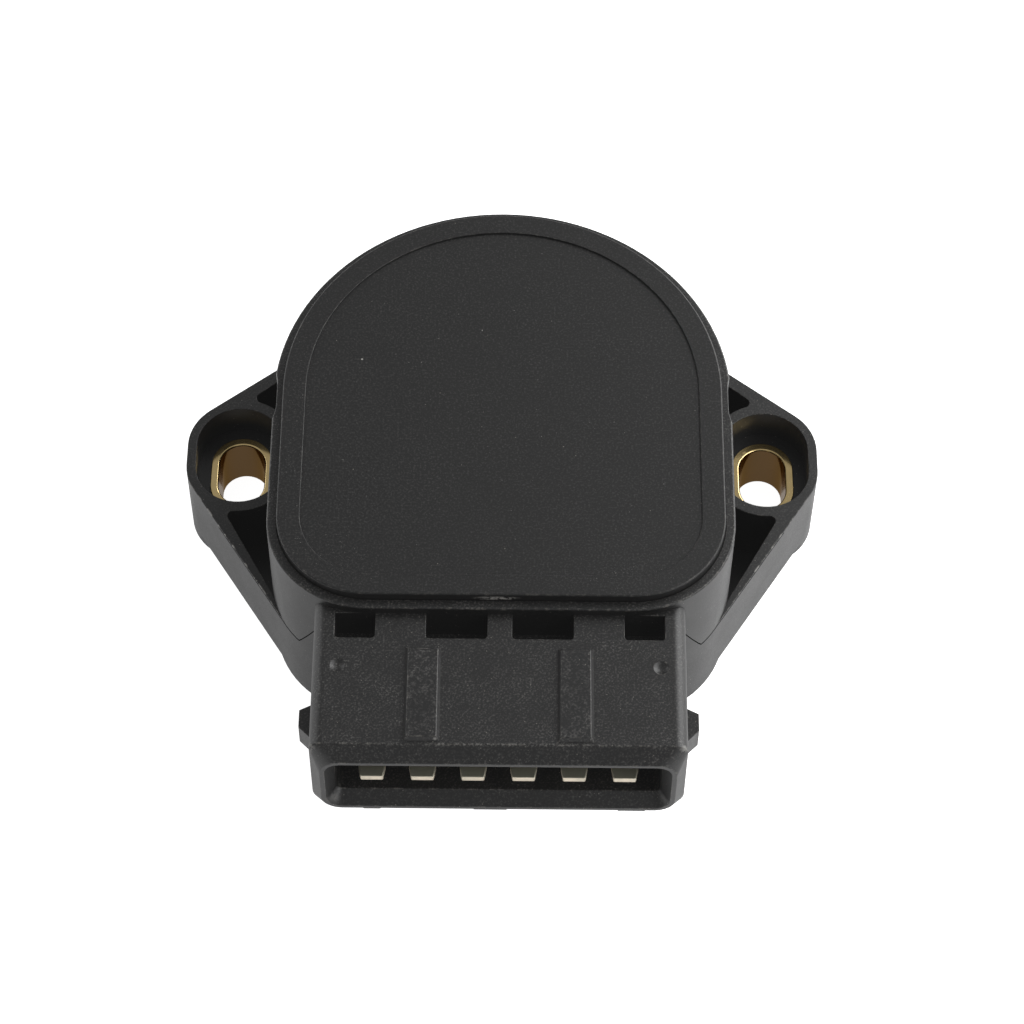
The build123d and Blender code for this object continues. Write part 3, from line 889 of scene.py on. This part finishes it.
@dataclass(frozen=True)
class SoftBox:
    """Soft box that faces the object.

    Attributes:
        name: Name of the light.
        place: Centre of the box in metres.
        size: Width and height in metres.
        radiance: Brightness of its face, where white paper in full light is 1.
    """

    name: str
    place: Point
    size: Span
    radiance: float

    def build(self, aim: Point) -> None:
        """Makes the lamp, whose power is its radiance times pi times its area.

        Args:
            aim: Point that the box faces, in metres.
        """
        width, height = self.size
        lamp = bpy.data.lights.new(self.name, "AREA")
        lamp.shape = "RECTANGLE"
        lamp.size = width
        lamp.size_y = height
        lamp.energy = self.radiance * math.pi * width * height
        light = bpy.data.objects.new(self.name, lamp)
        light.location = self.place
        light.rotation_euler = (Vector(aim) - Vector(self.place)).to_track_quat("-Z", "Y").to_euler()
        bpy.context.scene.collection.objects.link(light)


@dataclass
class Studio:
    """White floor, soft boxes, sky and the camera of the photograph.

    Attributes:
        image_px: Width of the photograph.
        focal_px: Focal length of its lens, in pixels.
        sensor_mm: Width of the camera's sensor.
        aim_mm: Point that the camera looks at.
        distance_mm: Distance of the camera from that point.
        elevation_deg: Angle of the camera above the floor.
        roll_deg: Roll of the camera.
        clip_m: Nearest and farthest distance that the camera sees.
        floor_radius_m: Radius of the floor.
        floor_segments: Sides of the floor.
        floor_drop_mm: Gap between the floor and the object.
        paper: Colour of the floor.
        view_glow: Glow of the floor to the camera.
        mirror_glow: Glow of the floor in reflections.
        sky: Strength of the sky.
        box_aim_m: Point that the soft boxes face.
        boxes: The soft boxes.
    """

    image_px: int = 1024
    focal_px: float = 3305.4
    sensor_mm: float = 36.0
    aim_mm: Point = (1.099, -5.664, 8.045)
    distance_mm: float = 350.97
    elevation_deg: float = 57.452
    roll_deg: float = 0.561
    clip_m: Span = (0.01, 20.0)
    floor_radius_m: float = 3.0
    floor_segments: int = 96
    floor_drop_mm: float = 0.02
    paper: str = "#f4f4f4"
    view_glow: float = 0.95
    mirror_glow: float = 0.42
    sky: float = 0.32
    box_aim_m: Point = (0.0, 0.0, 0.01)
    boxes: tuple[SoftBox, ...] = (
        SoftBox("key_box", (0.50, -0.18, 0.40), (0.50, 0.50), 2.7),
        SoftBox("right_box", (0.49, 0.42, 0.35), (0.60, 0.68), 3.6),
        SoftBox("left_box", (-0.55, 0.40, 0.25), (0.50, 0.50), 1.2),
    )

    def build(self) -> None:
        """Makes the stage, the lights and the camera."""
        self.floor()
        for box in self.boxes:
            box.build(self.box_aim_m)
        self.world()
        self.camera()
        bpy.context.scene.view_settings.view_transform = "Standard"

    def floor(self) -> None:
        """Makes a wide floor that is white to the eye and in reflections."""
        form = bmesh.new()
        bmesh.ops.create_circle(
            form, cap_ends=True, segments=self.floor_segments, radius=self.floor_radius_m)
        mesh = bpy.data.meshes.new("floor")
        form.to_mesh(mesh)
        form.free()
        floor = bpy.data.objects.new("floor", mesh)
        floor.location.z = -self.floor_drop_mm * MM
        bpy.context.scene.collection.objects.link(floor)
        dress(floor, self.white_paper())

    def white_paper(self) -> bpy.types.Material:
        """White paper: takes shadows, and glows to the camera and in reflections.

        Returns:
            The material.
        """
        material, tree = new_material("white_paper")
        path = add_node(tree, "ShaderNodeLightPath")
        seen = add_node(tree, "ShaderNodeMath", {
            0: path.outputs["Is Glossy Ray"], 1: path.outputs["Is Transmission Ray"]}, operation="MAXIMUM")
        mirrored = add_node(tree, "ShaderNodeMath", {
            0: seen.outputs["Value"], 1: self.mirror_glow}, operation="MULTIPLY")
        viewed = add_node(tree, "ShaderNodeMath", {
            0: path.outputs["Is Camera Ray"], 1: self.view_glow}, operation="MULTIPLY")
        shown = add_node(tree, "ShaderNodeMath", {
            0: viewed.outputs["Value"], 1: mirrored.outputs["Value"]}, operation="MAXIMUM")
        paper = add_node(tree, "ShaderNodeBsdfDiffuse", {"Color": linear(self.paper)})
        glow = add_node(tree, "ShaderNodeEmission", {"Color": WHITE, "Strength": shown.outputs["Value"]})
        mix = add_node(tree, "ShaderNodeAddShader", {0: paper.outputs["BSDF"], 1: glow.outputs["Emission"]})
        add_node(tree, "ShaderNodeOutputMaterial", {"Surface": mix.outputs["Shader"]})
        return material

    def world(self) -> None:
        """Makes a plain grey sky."""
        world = bpy.data.worlds.new("sky")
        world.use_nodes = True
        tree = world.node_tree
        tree.nodes.clear()
        sky = add_node(tree, "ShaderNodeBackground", {"Color": WHITE, "Strength": self.sky})
        add_node(tree, "ShaderNodeOutputWorld", {"Surface": sky.outputs["Background"]})
        bpy.context.scene.world = world

    def camera(self) -> None:
        """Makes the camera from the fitted view of the photograph."""
        lens = bpy.data.cameras.new("camera")
        lens.sensor_fit = "HORIZONTAL"
        lens.sensor_width = self.sensor_mm
        lens.lens = self.focal_px / self.image_px * self.sensor_mm
        lens.clip_start, lens.clip_end = self.clip_m
        tilt = math.radians(self.elevation_deg)
        roll = math.radians(self.roll_deg)
        ahead = Vector((0.0, math.cos(tilt), -math.sin(tilt)))
        upward = Vector((0.0, math.sin(tilt), math.cos(tilt)))
        across = Vector((1.0, 0.0, 0.0))
        right = across * math.cos(roll) + upward * math.sin(roll)
        top = upward * math.cos(roll) - across * math.sin(roll)
        turn = Matrix((right, top, -ahead)).transposed().to_4x4()
        place = (Vector(self.aim_mm) - ahead * self.distance_mm) * MM
        camera = bpy.data.objects.new("camera", lens)
        camera.matrix_world = Matrix.Translation(place) @ turn
        bpy.context.scene.collection.objects.link(camera)
        bpy.context.scene.camera = camera


def main() -> None:
    """Builds the dressed part and its studio."""
    logging.basicConfig(level=logging.INFO, format="%(message)s")
    Case().build()
    Lid().build()
    Metalwork().build()
    Works().build()
    Studio().build()


if __name__ == "__main__":
    main()
